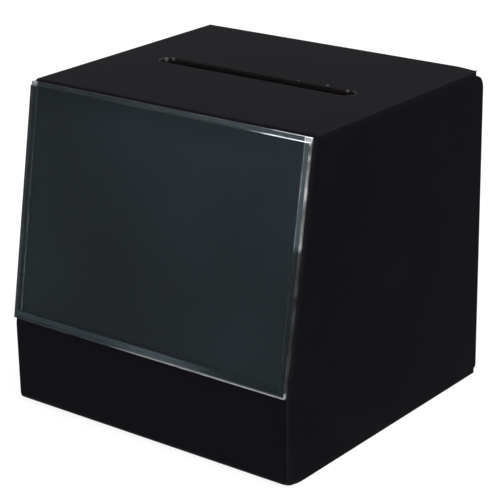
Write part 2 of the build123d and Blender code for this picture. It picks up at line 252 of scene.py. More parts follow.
# %% Floor finish
MIRROR_SHARE = 0.082  # of white, in what polished faces mirror
FLOOR_COLOUR = (0.86, 0.86, 0.86)
FLOOR_WHITE = 0.86  # share of the floor that camera rays see as plain white
RAY_KINDS = ("Is Camera Ray", "Is Glossy Ray", "Is Transmission Ray")

floor_finish = bpy.data.materials.new("studio_floor_white")
floor_finish.use_nodes = True
paint = Recipe(floor_finish.node_tree)
seen, mirrored, passed = paint.outputs("ShaderNodeLightPath", RAY_KINDS)
direct = seen.most(passed)
plain = paint.add("ShaderNodeBsdfDiffuse", {}, {"Color": (*FLOOR_COLOUR, 1.0)})
glow = paint.add("ShaderNodeEmission", {}, {"Strength": direct.most(mirrored * MIRROR_SHARE)})
shares = (direct * FLOOR_WHITE).most(mirrored)
surface = paint.add("ShaderNodeMixShader", {}, {0: shares, 1: plain, 2: glow})
paint.add("ShaderNodeOutputMaterial", {}, {"Surface": surface})
floor.data.materials.append(floor_finish)
print("floor finish:", floor_finish.name)

# %% [markdown]
# ## World and lamps
# The world lights the box softly from all sides. Camera rays and transmission rays see it white, and glossy
# rays see it dimmer than the floor, because the top, which mirrors it at a low slant, is nearly as dark as the
# sides in the photograph. Three large area lamps add the rest of a plain light level: one from the front right,
# which lights the clear edges on that side on top of their painted glow, one overhead, and one behind for the
# door and its metal parts. None of them stands where a flat black face would mirror it to the camera.

# %% World
FILL_LIGHT = 0.52  # diffuse light of the world
MIRROR_SKY = 0.064  # of white, seen above the horizon by polished faces

world = bpy.data.worlds.new("soft_studio")
world.use_nodes = True
scene.world = world
sky = Recipe(world.node_tree)
seen, mirrored, passed = sky.outputs("ShaderNodeLightPath", RAY_KINDS)
level = FILL_LIGHT + mirrored * (MIRROR_SKY - FILL_LIGHT)
level = level.most(seen.most(passed))
background = sky.add("ShaderNodeBackground", {}, {"Color": (1.0, 1.0, 1.0, 1.0), "Strength": level})
sky.add("ShaderNodeOutputWorld", {}, {"Surface": background})
scene.view_settings.view_transform = "Standard"
print("world:", world.name, "fill", FILL_LIGHT)

# %% Lamps
LAMPS = {
    # name: place, size, watts
    "front_right_softbox": ((1.00, -0.95, 1.35), 0.90, 26.0),
    "overhead_softbox": ((0.25, 0.05, 1.75), 1.20, 24.0),
    "rear_softbox": ((0.10, 1.40, 0.90), 1.00, 20.0),
}
AIM = Vector((0.0, 0.0, 0.09))


def softbox(name, place, size, watts):
    """A square area lamp at a place, turned towards the box."""
    lamp = bpy.data.lights.new(name, "AREA")
    lamp.shape, lamp.size, lamp.energy = "SQUARE", size, watts
    holder = bpy.data.objects.new(name, lamp)
    aimed = (AIM - Vector(place)).to_track_quat("-Z", "Y").to_matrix().to_4x4()
    holder.matrix_world = Matrix.Translation(place) @ aimed
    scene.collection.objects.link(holder)


for lamp_name, lamp_values in LAMPS.items():
    softbox(lamp_name, *lamp_values)
print("lamps:", ", ".join(LAMPS))

# %% [markdown]
# ## What the finishes share
# Every finish is worked out from Object coordinates in millimetres, so a pattern has its real scale and stays
# on its piece when the door swings. A Mapping node could scale them, but a Vector Math node says the same in one
# number. Two small effects come back on most pieces: specks of dust, and cloudy patches. Patches are noise cut
# off softly, and drawn out along an axis they become wipe marks, brush lines or the lines of a saw.


# %% Starting and closing a finish
def finish_recipe(name):
    """A new material's recipe, with the place in millimetres and the object's own normal."""
    material = bpy.data.materials.new(name)
    material.use_nodes = True
    recipe = Recipe(material.node_tree)
    where, normal = recipe.outputs("ShaderNodeTexCoord", ("Object", "Normal"))
    place = recipe.add("ShaderNodeVectorMath", {"operation": "SCALE"}, {"Vector": where, "Scale": 1 / MM})
    return material, recipe, place, normal


def finished(material, recipe, values):
    """Close a recipe with a Principled shader, given its sockets' values."""
    shader = recipe.add("ShaderNodeBsdfPrincipled", {}, values)
    recipe.add("ShaderNodeOutputMaterial", {}, {"Surface": shader})
    return material


# %% Patterns
SPOT_CORE = 0.35  # of the radius of a speck or a painted glint: the part that is full


def stretched(recipe, place, x, y, z):
    """The place with each axis multiplied by its own number, which draws a pattern out along the small ones."""
    return recipe.add("ShaderNodeVectorMath", {"operation": "MULTIPLY"}, {0: place, 1: (x, y, z)})


def patches(recipe, vector, start, end, scale=1.0, detail=2.0):
    """Cloudy patches: noise as a smooth step between two of its values."""
    return recipe.noise(vector, scale, detail).rise(start, end)


def dust(recipe, place, spacing, radius, share):
    """Specks: the cells of a Voronoi pattern `spacing` mm apart have one speck each, and only a share of the
    cells keeps it. A speck is a disc of about `radius` mm with a soft rim."""
    distance, colour = recipe.outputs("ShaderNodeTexVoronoi", ("Distance", "Color"),
                                      {"Vector": place, "Scale": 1 / spacing})
    tone = recipe.add("ShaderNodeSeparateColor", {}, {"Color": colour})
    return (distance * spacing).rise(radius, radius * SPOT_CORE) * tone.over(1 - share) * tone


print("patterns: noise, stretched noise, patches, dust")

# %% [markdown]
# ## Black acrylic
# Cast acrylic sheet is coloured right through and polished by its mould, so it is almost black and mirrors like
# glass, with the fine dust and faint wipe marks that a dark, static sheet always carries. Its index of
# refraction of 1.49 gives the amount of mirror. The base is a very dark blue-grey, and the side panels get a
# darker copy of it as painted shade. The faces are not perfectly flat, so a slow, very low bump bends the
# reflections a little, more so beside the heat bends. A sawn edge is matt and lined across the sheet by the
# blade, and on the bent sheet a thin lighter line along its outer corner is a painted highlight.

# %% Sizes that the finishes follow
ACRYLIC_IOR = 1.49
SHEET = 3.0
LEAN_SETBACK, LEAN_START = 25.0, 47.0
SLOT_SETBACK, SLOT_LENGTH, SLOT_WIDTH = 74.5, 133.0, 9.5
wrap_low, wrap_high = (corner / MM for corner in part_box("wrap_panel"))
FRONT_Y, REAR_Y, TOP_Z = wrap_low.y, wrap_high.y, wrap_high.z
LEAN = atan2(LEAN_SETBACK, TOP_Z - LEAN_START)
SLOT_Y = FRONT_Y + LEAN_SETBACK + SLOT_SETBACK
print("front at y", round(FRONT_Y, 2), "slot at y", round(SLOT_Y, 2), "lean, degrees", round(degrees(LEAN), 2))


def lean_frame(vector, shift_y=0.0, shift_z=0.0):
    """Parts of a vector along the leaning front: across, up the slope, and out of it."""
    x, y, z = vector
    y, z = y - shift_y, z - shift_z
    return x, y * sin(LEAN) + z * cos(LEAN), z * sin(LEAN) - y * cos(LEAN)


# %% Sawn edges
FLAT_FACING = 0.7  # part of the normal along an axis, above which a face counts as facing that way
REAR_FACING = 0.9


def ends_cut(nx, ny, nz, x, y, z):
    """The wrap's sawn edges: its two ends, and the rear edges of its top and bottom."""
    return abs(nx).over(FLAT_FACING).most(ny.over(REAR_FACING) * y.over(REAR_Y - 2 * SHEET))


def rim_cut(nx, ny, nz, x, y, z):
    """A side panel's sawn edges: all that doesn't face left or right."""
    return 1 - abs(nx).over(FLAT_FACING)


def strip_cut(nx, ny, nz, x, y, z):
    """A rear strip's or the door's sawn edges: all that doesn't face front or back."""
    return 1 - abs(ny).over(FLAT_FACING)


# %% The slot's places
SLOT_MARGIN = (0.75, 0.45)  # past the slot's outline: where the walls' mask starts and where it is full
WALL_FADE = (-0.05, -0.3)  # from the top face: where the walls start and where they are full
RIM_FADE = (-0.5, -0.35)  # the rim is the last half millimetre, where the corner is eased
WALL_FOOT = 0.1  # how far the walls' mask runs past the sheet
TURN_REACH = 1.0  # millimetres into the round ends
# painted glints on the slot's far edge, at these places
SLOT_GLINTS = (
    # along the slot, behind its far edge, below the top, radius
    (-65.2, -1.8, 1.0, 1.5), (-61.5, 0.0, 0.8, 1.3), (25.8, 1.2, 0.0, 0.8), (44.8, 2.0, 0.0, 1.2),
    (59.2, 0.0, 0.5, 1.2),
)


def slot_masks(x, y, z):
    """The slot's walls, its eased rim and its round ends. The distance from the slot's middle line, which is
    straight and ends half a width before each end, is compared with half the width."""
    along = (abs(x) - (SLOT_LENGTH - SLOT_WIDTH) / 2).most(0.0)
    reach = (along ** 2 + (y - SLOT_Y) ** 2) ** 0.5
    near = reach.rise(*(SLOT_WIDTH / 2 + margin for margin in SLOT_MARGIN))
    walls = near * z.over(TOP_Z - SHEET - WALL_FOOT) * z.rise(*(TOP_Z + fade for fade in WALL_FADE))
    rim = near * z.rise(*(TOP_Z + fade for fade in RIM_FADE))
    return walls, rim, along.rise(0.0, TURN_REACH)


def slot_glints(x, y, z):
    """Painted glints: small light spots on the slot's far edge, soft balls at the table's places."""
    spots = 0.0
    for along, behind, below, radius in SLOT_GLINTS:
        far_edge = SLOT_Y + SLOT_WIDTH / 2
        away = ((x - along) ** 2 + (y - far_edge - behind) ** 2 + (z - TOP_Z + below) ** 2) ** 0.5
        spots = away.rise(radius, SPOT_CORE * radius) + spots
    return spots.clamped()


print("chips on the slot's edge:", len(SLOT_GLINTS))

# %% Tones and amounts of the black sheet
BLACK_BASE = (0.0019, 0.0016, 0.0032)
# painted shade: a darker copy of the black base, so the side panels render darker than the bent sheet
SIDE_SHADED_BASE = (0.0006, 0.0005, 0.0016)
BLACK_HAZE = (0.0022, 0.0019, 0.0036)  # where a wipe mark leaves a film
SAWN_TONE = (0.0018, 0.0016, 0.0028)
CORNER_HIGHLIGHT_TONE = (0.012, 0.012, 0.014)  # painted highlight: a thin light line along a sawn edge's outer corner
DUST_TONE = (0.20, 0.20, 0.21)
SLOT_TONE = (0.016, 0.012, 0.012)  # warm tone of the slot's walls, with thin saw burrs
GLINT_TONE = (0.085, 0.078, 0.080)  # painted glints on the slot's far edge

FILM_STRETCH, FILM_SPAN, FILM_DETAIL, FILM_SHARE = (0.012, 0.03, 0.03), (0.52, 0.72), 4, 0.6
WIPE_STRETCH, WIPE_SPAN, WIPE_DETAIL = (0.02, 0.25, 0.25), (0.45, 0.75), 3
FINE_DUST, COARSE_DUST = (11.0, 0.30, 0.30), (38.0, 0.70, 0.30)  # spacing, radius, share of cells
POLISHED, FILM_ROUGH, WIPE_ROUGH, DUST_ROUGH = 0.055, 0.03, 0.03, 0.4
SAWN_ROUGH, SAW_LINE_ROUGH, SAW_LINE_HEIGHT = 0.12, 0.08, 0.02

CORNER_HIGHLIGHT_SPAN = (0.65, 0.15)  # millimetres from the sheet's outer face: where the painted highlight line starts and is full
CORNER_HIGHLIGHT_SHARE, CORNER_HIGHLIGHT_LINES = 0.4, 0.9
BURR_SPAN, BURR_SCALE, BURR_DETAIL = (0.40, 0.65), 0.8, 3
SLOT_SHARE, SLOT_BURRS, SLOT_TOP_PAINTED_LIGHT = 0.10, 0.30, 0.60  # painted shade: the walls are lightest near the top and darker deeper down
SLOT_ROUGH, TURN_ROUGH = 0.25, 0.9  # the rim's round ends are matt, or they would flash in the lamp

WAVE_SCALE, WAVE_HEIGHT = 0.02, 0.35
BEND_FAR, BEND_NEAR = 18.0, 4.0  # millimetres from a bend: where its waves start and where they are full
BEND_STRETCH, BEND_WAVE_HEIGHT = (0.06, 0.01, 0.01), 0.06
print("black base:", BLACK_BASE, "polished roughness:", POLISHED)


# %% Black sheet
def wrap_details(recipe, place, cut, lines, base, rough):
    """What only the bent sheet has: a painted highlight along its sawn edges' outer corners, and its slot with
    painted shade down its walls and painted glints on its far edge. Returns the base colour and the roughness
    with both added."""
    x, y, z = recipe.parts(place)
    _, _, out = lean_frame((x, y, z), FRONT_Y, LEAN_START)
    inset = (out * -1).least(y - FRONT_Y).least(TOP_Z - z).least(z)
    # painted highlight: a thin light line along the sawn edges' outer corners
    corner = cut * inset.rise(*CORNER_HIGHLIGHT_SPAN)
    base = recipe.mixed(corner * (CORNER_HIGHLIGHT_SHARE + CORNER_HIGHLIGHT_LINES * lines), base, CORNER_HIGHLIGHT_TONE)
    walls, rim, turn = slot_masks(x, y, z)
    burr = patches(recipe, place, *BURR_SPAN, scale=BURR_SCALE, detail=BURR_DETAIL)
    # painted shade: the walls get lighter towards the top and darker deeper in the slot; burrs vary the tone at
    # random
    light = SLOT_SHARE + SLOT_BURRS * burr + SLOT_TOP_PAINTED_LIGHT * z.rise(TOP_Z - SHEET, TOP_Z)
    base = recipe.mixed(walls * light, base, SLOT_TONE)
    # painted glints: light spots mixed into the slot's far edge
    base = recipe.mixed(slot_glints(x, y, z), base, GLINT_TONE)
    return base, rough + SLOT_ROUGH * walls * (1 - rim) + TURN_ROUGH * rim * turn


def black_sheet(name, cut_mask, saw_stretch, bends=(), is_wrap=False, tone=BLACK_BASE):
    """Polished black acrylic. `cut_mask` turns the object's normal and place into the share of sawn edge, and
    `saw_stretch` draws the saw lines across it. `bends` lists the heat bends' places in y and z."""
    material, recipe, place, normal = finish_recipe(name)
    x, y, z = recipe.parts(place)
    cut = cut_mask(*recipe.parts(normal), x, y, z)
    film = patches(recipe, stretched(recipe, place, *FILM_STRETCH), *FILM_SPAN, detail=FILM_DETAIL)
    wipes = patches(recipe, stretched(recipe, place, *WIPE_STRETCH), *WIPE_SPAN, detail=WIPE_DETAIL)
    specks = dust(recipe, place, *FINE_DUST).most(dust(recipe, place, *COARSE_DUST))
    lines = recipe.noise(stretched(recipe, place, *saw_stretch))

    base = recipe.mixed(film * FILM_SHARE, tone, BLACK_HAZE)
    base = recipe.mixed(cut, base, SAWN_TONE)
    rough = POLISHED + FILM_ROUGH * film + WIPE_ROUGH * wipes + SAWN_ROUGH * cut + SAW_LINE_ROUGH * cut * lines
    if is_wrap:
        base, rough = wrap_details(recipe, place, cut, lines, base, rough)

    waves = recipe.noise(place, scale=WAVE_SCALE, detail=1) * WAVE_HEIGHT
    for bend_y, bend_z in bends:
        near = ((y - bend_y) ** 2 + (z - bend_z) ** 2).rise(BEND_FAR ** 2, BEND_NEAR ** 2)
        bend_waves = recipe.noise(stretched(recipe, place, *BEND_STRETCH), detail=1)
        waves = waves + near * bend_waves * BEND_WAVE_HEIGHT
    return finished(material, recipe, {
        "Base Color": recipe.mixed(specks, base, DUST_TONE),
        "Roughness": rough + DUST_ROUGH * specks,
        "IOR": ACRYLIC_IOR,
        "Normal": recipe.bump(waves + cut * lines * SAW_LINE_HEIGHT, MM),
    })


# %% The black finishes
BENDS = ((FRONT_Y + LEAN_SETBACK, TOP_Z), (FRONT_Y, LEAN_START), (FRONT_Y, 0.0))
wrap_finish = black_sheet("black_acrylic_wrap", ends_cut, (0.1, 3.0, 3.0), BENDS, is_wrap=True)
side_finish = black_sheet("black_acrylic_side", rim_cut, (0.2, 2.5, 2.5), tone=SIDE_SHADED_BASE)
rear_finish = black_sheet("black_acrylic_rear", strip_cut, (2.5, 0.2, 2.5))
print("black finishes:", wrap_finish.name, side_finish.name, rear_finish.name)

# %% [markdown]
# ## Clear acrylic
# The pocket is a pane and a backing of clear sheet, a millimetre thick, with clear strips between them. A clear
# face does two things: it mirrors a few hundredths of the light, more at a slant, and it lets the rest through.
# Glass shading with refraction would be slow and noisy here, and thin flat sheets hardly bend the view, so each
# face is a Transparent shader mixed with a mirror by that share. The share follows Schlick's rule: 0.04 head on,
# rising with the fifth power of the slant. Haze adds a little scattered light, with painted light that grows
# towards the upper right, and a painted glow where the strips and the sawn edges shine through. The edges
# themselves are frosted, and their light is painted into their colour: bright lines, brightest at the upper
# right corner.

# %% Where the pocket gets painted glow
PANE_TOP = 135.5  # up the slope from the lean bend, as all the pocket's places are
RIM_SPAN, RIM_ACROSS, RIM_SHARE = (PANE_TOP - 0.1, PANE_TOP + 0.1), (-60.0, 80.0), 0.45
END_SPAN, END_ACROSS, LEFT_END_SHARE = (PANE_TOP - 1.0, PANE_TOP), (88.0, 92.0), 0.9
RIGHT_BAND, RIGHT_BAND_ACROSS = (79.0, 84.0), (88.0, 90.0)
LEFT_BAND_ACROSS, LEFT_BAND_SHARE = (-90.0, -91.0), 0.12
BOTTOM_BAND, BOTTOM_BAND_BASE = (8.5, 8.0), 0.5
BOTTOM_BAND_STEPS = ((-30.0, 0.0, 0.5), (10.0, 60.0, -1.0))
FOOT_SPAN, FOOT_ACROSS = (5.3, 4.5), (-35.0, 20.0)


def climb(along, base, *steps):
    """A value that starts at `base` and climbs by each step's gain between that step's start and end."""
    total = base
    for start, end, gain in steps:
        total = total + along.rise(start, end) * gain
    return total


def painted_glow_places(across, slope):
    """Shares of the pocket's painted glow: the rim above the pane, the strips' upper ends, the strips' glowing
    lengths, and the foot of the pane."""
    rim = slope.rise(*RIM_SPAN) * (RIM_SHARE + (1 - RIM_SHARE) * across.rise(*RIM_ACROSS))
    left_end = across.rise(*(-place for place in END_ACROSS))
    ends = slope.rise(*END_SPAN) * (across.rise(*END_ACROSS) + LEFT_END_SHARE * left_end)
    bands = slope.rise(*RIGHT_BAND) * across.rise(*RIGHT_BAND_ACROSS)
    bands = bands + LEFT_BAND_SHARE * across.rise(*LEFT_BAND_ACROSS)
    bands = bands + slope.rise(*BOTTOM_BAND) * climb(across, BOTTOM_BAND_BASE, *BOTTOM_BAND_STEPS)
    foot = slope.rise(*FOOT_SPAN) * across.rise(*FOOT_ACROSS)
    return {"rim": rim, "ends": ends, "bands": bands, "foot": foot}


print("pane's top edge:", PANE_TOP, "mm up the slope")

# %% How an edge's painted glow changes along it
RIGHT_GLOW = (
    # start and end up the slope, and the gain: the right edge's painted glow rises and falls in these steps
    (7.6, 6.4, 0.30), (79.0, 83.0, 0.18), (89.0, 96.0, -0.08), (103.0, 110.0, 0.16), (113.0, 117.0, -0.06),
    (120.0, 123.0, -0.14), (125.0, 128.0, 0.10), (129.0, 132.0, -0.11), (133.0, 135.5, 0.30),
)
# painted light of the frosted edges: each facing, and each side, is given its own brightness
RIGHT_BASE, RIGHT_INSIDE, RIGHT_INSIDE_FACING = 0.024, 0.9, (-0.4, -0.6)
LEFT_BASE, LEFT_STEP = 0.010, (-93.0, -92.0, 0.020)
LEFT_LOW_GAIN, LEFT_LOW_SPAN = 1.1, (72.0, 58.0)
LEFT_GRAIN = (0.4, 1.2)  # least, and gain with the grain
UPPER_HALF, UPWARD_BASE = 60.0, 0.006
DOWNWARD_BASE, DOWNWARD_STEP = 0.12, (-30.0, -5.0, 0.80)
SIDES_MEET = (-5.0, 5.0)
TURNED, TURNED_DOWN = (0.4, 0.6), (-0.4, -0.6)  # part of the normal along the slope
MOTTLE_STRETCH, MOTTLE_SPAN, MOTTLE_GAIN = (0.10, 0.13, 0.13), (0.30, 0.68), (0.45, 1.1)
GRAIN_SCALE, GRAIN_SPAN, GRAIN_GAIN = 0.7, (0.35, 0.68), (0.8, 0.4)
BRIGHTEST, TOP_EDGE_LEAST = 0.95, 0.8


def painted_edge_light(recipe, place, across, slope, facing_across, facing_slope, top_edge, side_gain):
    """The painted light of a sawn edge: how bright it is drawn. The edge's facing picks the tone: upward,
    downward, left or right, each a value that climbs in steps along the edge. Mottle and grain make it uneven."""
    mottle = patches(recipe, stretched(recipe, place, *MOTTLE_STRETCH), *MOTTLE_SPAN, detail=3)
    grain = patches(recipe, place, *GRAIN_SPAN, scale=GRAIN_SCALE)
    upward = climb(across, *top_edge) * slope.over(UPPER_HALF) + UPWARD_BASE
    downward = climb(across, DOWNWARD_BASE, DOWNWARD_STEP)
    right_side = climb(slope, RIGHT_BASE, *((start, end, gain * side_gain) for start, end, gain in RIGHT_GLOW))
    right_side = right_side * (1 + RIGHT_INSIDE * facing_across.rise(*RIGHT_INSIDE_FACING))
    left_side = climb(across, LEFT_BASE, LEFT_STEP) * (LEFT_GRAIN[0] + LEFT_GRAIN[1] * grain)
    left_side = left_side * (1 + LEFT_LOW_GAIN * slope.rise(*LEFT_LOW_SPAN))
    sideways = left_side + (right_side - left_side) * across.rise(*SIDES_MEET)
    turned = facing_slope.rise(*TURNED)
    tone = sideways + (upward - sideways) * turned
    tone = tone + (downward - tone) * facing_slope.rise(*TURNED_DOWN)
    uneven = (MOTTLE_GAIN[0] + MOTTLE_GAIN[1] * mottle) * (GRAIN_GAIN[0] + GRAIN_GAIN[1] * grain)
    return (tone * uneven).least(BRIGHTEST).most((upward * turned).least(BRIGHTEST) * TOP_EDGE_LEAST)


print("steps of the right edge's glow:", len(RIGHT_GLOW))

# %% Clear sheet
CLEAR_TONE = (0.66, 0.90, 1.0)  # scattered light, faintly blue
EDGE_TINT = (0.95, 0.98, 1.0)
EDGE_SHARE = 0.985  # how far an edge hides what is behind it
EDGE_FACING = (0.92, 0.80)  # part of the normal out of the slope, below which a face is an edge
GLUED_FACING, GLUED_SHARE = (-0.6, -0.85), 0.5  # faces towards the box mirror less: most lie on another sheet
MIRROR_HEAD_ON = 0.04
SMEAR_STRETCH, SMEAR_SPAN = (0.015, 0.02, 0.012), (0.4, 0.75)
CLEAR_DUST, CLEAR_DUST_SHARE = (9.0, 0.25, 0.25), 0.25
LIGHT_ACROSS, LIGHT_UP = (-90.0, 94.0), (10.0, 138.0)
# haze of a face: a base and smears, with painted light towards the upper right corner and towards the top
HAZE_BASE, HAZE_SMEARS, HAZE_PAINTED_CORNER_LIGHT, HAZE_PAINTED_UPPER_LIGHT, HAZE_PAINTED_UPPER_SPAN = 0.5, 0.5, 1.1, 0.25, (80.0, 138.0)
CLEAR_ROUGH, SMEAR_ROUGH, EDGE_ROUGH = 0.04, 0.05, 0.4


def clear_sheet(name, haze_and_glow, top_edge, side_gain=1.0):
    """Clear acrylic with sawn edges. The dict of shares gives the face's haze, with painted light towards the
    upper right, and the painted glow at each place named in it. `top_edge` is the base and the steps of the top
    edge's painted glow from left to right, and `side_gain` is the share of painted glow that the right edge
    gets."""
    material, recipe, place, normal = finish_recipe(name)
    across, slope, _ = lean_frame(recipe.parts(place), FRONT_Y, LEAN_START)
    facing_across, facing_slope, facing_out = lean_frame(recipe.parts(normal))
    slant = recipe.add("ShaderNodeLayerWeight", {}, {"Blend": 0.5}, output="Facing")
    mirror = MIRROR_HEAD_ON + (1 - MIRROR_HEAD_ON) * slant ** 5
    edge = abs(facing_out).rise(*EDGE_FACING)
    glued = facing_out.rise(*GLUED_FACING) * GLUED_SHARE

    smears = patches(recipe, stretched(recipe, place, *SMEAR_STRETCH), *SMEAR_SPAN, detail=4)
    # painted light: the face's haze grows towards the upper right corner
    corner_light = (across.rise(*LIGHT_ACROSS) + slope.rise(*LIGHT_UP)) * 0.5
    places = painted_glow_places(across, slope)
    film = haze_and_glow["face"] * (HAZE_BASE + HAZE_SMEARS * smears + HAZE_PAINTED_CORNER_LIGHT * corner_light ** 2
                           + HAZE_PAINTED_UPPER_LIGHT * slope.rise(*HAZE_PAINTED_UPPER_SPAN))
    # painted glow where the strips and the sawn edges shine through
    for painted_glow_place, mask in places.items():
        if painted_glow_place in haze_and_glow:
            film = film + haze_and_glow[painted_glow_place] * mask
    film = film + CLEAR_DUST_SHARE * dust(recipe, place, *CLEAR_DUST)

    tone = painted_edge_light(recipe, place, across, slope, facing_across, facing_slope, top_edge, side_gain)
    # painted glow: the face takes the edges' white where the strips' ends and the pane's foot glow
    face_colour = recipe.mixed(places["ends"].most(places["foot"]), CLEAR_TONE, EDGE_TINT)
    edge_colour = recipe.mixed(tone, (0.0, 0.0, 0.0), EDGE_TINT)
    share = recipe.add("ShaderNodeMix", {"data_type": "FLOAT"},
                       {"Factor": edge, 2: (mirror + film) * (1 - glued), 3: EDGE_SHARE})
    shader = recipe.add("ShaderNodeBsdfPrincipled", {}, {
        "Base Color": recipe.mixed(edge, face_colour, edge_colour),
        "Metallic": (1 - edge) * mirror / (mirror + film),
        "Roughness": CLEAR_ROUGH + SMEAR_ROUGH * smears + EDGE_ROUGH * edge,
        "IOR": ACRYLIC_IOR,
    })
    through = recipe.add("ShaderNodeBsdfTransparent", {}, {"Color": (1.0, 1.0, 1.0, 1.0)})
    surface = recipe.add("ShaderNodeMixShader", {}, {0: share, 1: through, 2: shader})
    recipe.add("ShaderNodeOutputMaterial", {}, {"Surface": surface})
    return material


# %% The clear finishes
# painted glow along each sheet's top edge: a base and steps from left to right, brightest at the right
PANE_TOP_EDGE = (0.0, (-60.0, -10.0, 0.010), (52.0, 62.0, 0.10), (63.0, 70.0, 0.86))
BACKING_TOP_EDGE = (0.018, (-90.0, -40.0, 0.012), (-30.0, 45.0, 0.020), (45.0, 62.0, 0.06), (66.0, 78.0, 0.90))
STRIP_TOP_EDGE = (0.35, (0.0, 60.0, 0.60))

pane_finish = clear_sheet("clear_acrylic_pane", {"face": 0.0026, "foot": 0.10}, PANE_TOP_EDGE, side_gain=0.8)
backing_finish = clear_sheet("clear_acrylic_backing", {"face": 0.0026, "rim": 0.023}, BACKING_TOP_EDGE,
                             side_gain=0.1)
strip_finish = clear_sheet("clear_acrylic_strip", {"face": 0.0014, "rim": 0.023, "ends": 0.14, "bands": 0.03},
                           STRIP_TOP_EDGE)
print("clear finishes:", pane_finish.name, backing_finish.name, strip_finish.name)

# %% [markdown]
# ## Metal
# The hinge is rolled from thin steel and brushed along its length, the rivets are plain steel with pressed
# heads, the lock is bright plated, and its nut, washer and cam are zinc plated. Metal gets its look almost only
# from how sharp its reflections are, so each finish is a colour near grey and a roughness drawn out along the
# direction in which the piece was worked. The surroundings that polished faces mirror are dim here, for the
# sake of the black sheet, so pure metal would look too dark. A metallic share below 1 leaves some plain grey.

# %% Metal finishes
MOTTLE_SHARE, METAL_SPAN = 0.7, (0.35, 0.75)
LINE_ROUGH, MOTTLE_ROUGH = 0.16, 0.08


def metal(name, tone, dark_tone, rough, stretch, grain=0.01, mottle_scale=0.15, metallic=0.80):
    """Metal with a grain: `stretch` draws the noise out along the grain, whose relief is `grain` mm, and a slow
    mottle changes the tone."""
    material, recipe, place, _ = finish_recipe(name)
    lines = recipe.noise(stretched(recipe, place, *stretch), detail=4, roughness=0.6)
    mottle = patches(recipe, place, *METAL_SPAN, scale=mottle_scale, detail=3)
    return finished(material, recipe, {
        "Base Color": recipe.mixed(mottle * MOTTLE_SHARE, tone, dark_tone),
        "Metallic": metallic,
        "Roughness": rough + LINE_ROUGH * (lines - 0.5) + MOTTLE_ROUGH * mottle,
        "Normal": recipe.bump(lines, grain * MM),
    })


hinge_finish = metal("brushed_hinge_steel", (0.62, 0.62, 0.63), (0.50, 0.50, 0.50), 0.30, (0.06, 4.0, 4.0))
rivet_finish = metal("pressed_rivet_steel", (0.66, 0.66, 0.67), (0.52, 0.51, 0.50), 0.32, (1.2, 1.2, 1.2), 0.02)
chrome_finish = metal("bright_lock_plating", (0.78, 0.78, 0.80), (0.70, 0.70, 0.71), 0.09, (2.0, 2.0, 2.0),
                      grain=0.002, metallic=0.88)
zinc_finish = metal("zinc_plated_steel", (0.60, 0.60, 0.58), (0.46, 0.47, 0.48), 0.38, (1.5, 1.5, 1.5),
                    mottle_scale=0.35)
print("metal finishes:", hinge_finish.name, rivet_finish.name, chrome_finish.name, zinc_finish.name)

# %% [markdown]
# ## Bent sheet with eased corners
# The bent sheet is sawn square, but two of its corners on the right are eased by hand: the one at the foot of
# the front, and the rear one of the top, which is filed back a little. A Bevel modifier would ease the whole end
# of the sheet. A CAD node's mesh is never edited, so the sheet is copied, its doubled points are merged, and it
# is cut across near its right end. The easing is then a formula on the points.

# %% Sizes of the easing
BEND_MIDDLE = 4.5  # of the foot bend, from the front and from the underside; also its outer radius
FOOT_EASE_START, FOOT_EASE_DEPTH, FOOT_EASE_REACH = 89.5, 1.9, 11.0
FOOT_EASE_KEPT = 0.75  # weight of the easing at the end of the bend
REAR_EASE_START, REAR_EASE_DEPTH, REAR_EASE_POWER = 81.0, 2.7, 1.2
CUTS_ACROSS = (81.0, 84.5, 88.0, 89.5, 91.2, 92.6, 93.6, 94.3, 94.75)
CUTS_ALONG = (1.2, 2.6, 4.6, 7.5, FOOT_EASE_REACH)  # behind the foot bend
TOUCH = 0.01  # millimetres within which a point counts as on a face
TINY = 1e-6  # keeps a division away from zero
wrap_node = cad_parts["wrap_panel"]
node_points = np.array([vertex.co for vertex in wrap_node.data.vertices]) / MM
REAR_EDGE_Y = node_points[node_points[:, 2] > TOP_Z - TOUCH, 1].max()
print("rear edge of the top at y", round(REAR_EDGE_Y, 2))


# %% Easing the corners
def eased(points):
    """The sheet's points in millimetres with two corners eased. The share u goes from 0 where an easing starts
    to 1 at the sheet's right end. A point on the outside of the foot bend moves towards the bend's middle by
    the depth times (1 - sqrt(1 - u^2)) times a weight. With a its angle round the bend, the weight is
    sin(2 a)^2 up to the middle and 3/4 + sin(2 a)^2 / 4 beyond it. Behind the bend the weight goes on from 3/4
    at the underside and fades out upwards through the sheet, and backwards with the cube of the way that is
    left. A point on the top's rear edge moves forwards by its depth times u^1.2."""
    x, y, z = points.T
    foot = np.clip((x - FOOT_EASE_START) / (wrap_high.x - FOOT_EASE_START), 0, 1)
    rear = np.clip((x - REAR_EASE_START) / (wrap_high.x - REAR_EASE_START), 0, 1)
    from_y, from_z = y - (FRONT_Y + BEND_MIDDLE), z - BEND_MIDDLE
    reach = np.hypot(from_y, from_z)
    outside = (from_y < 0) & (from_z < 0) & (reach > BEND_MIDDLE - SHEET / 2)
    angle = np.arctan2(-from_z, -from_y)
    swell = np.sin(2 * angle) ** 2
    kept = FOOT_EASE_KEPT + (1 - FOOT_EASE_KEPT) * swell
    round_bend = np.where(angle < np.pi / 4, swell, kept) * outside
    low_share = np.clip(1 - z / SHEET, 0, 1) * ~outside
    behind = FOOT_EASE_KEPT * (1 - np.clip(from_y / FOOT_EASE_REACH, 0, 1)) ** 3 * low_share
    depth = FOOT_EASE_DEPTH * (1 - np.sqrt(1 - foot ** 2))
    y = y - depth * round_bend * from_y / np.maximum(reach, TINY)
    z = z - depth * round_bend * from_z / np.maximum(reach, TINY) + depth * behind
    on_edge = (y > REAR_EDGE_Y - TOUCH) & (z > TOP_Z - SHEET - TOUCH)
    y = y - REAR_EASE_DEPTH * rear ** REAR_EASE_POWER * on_edge
    return np.stack([x, y, z], axis=-1)


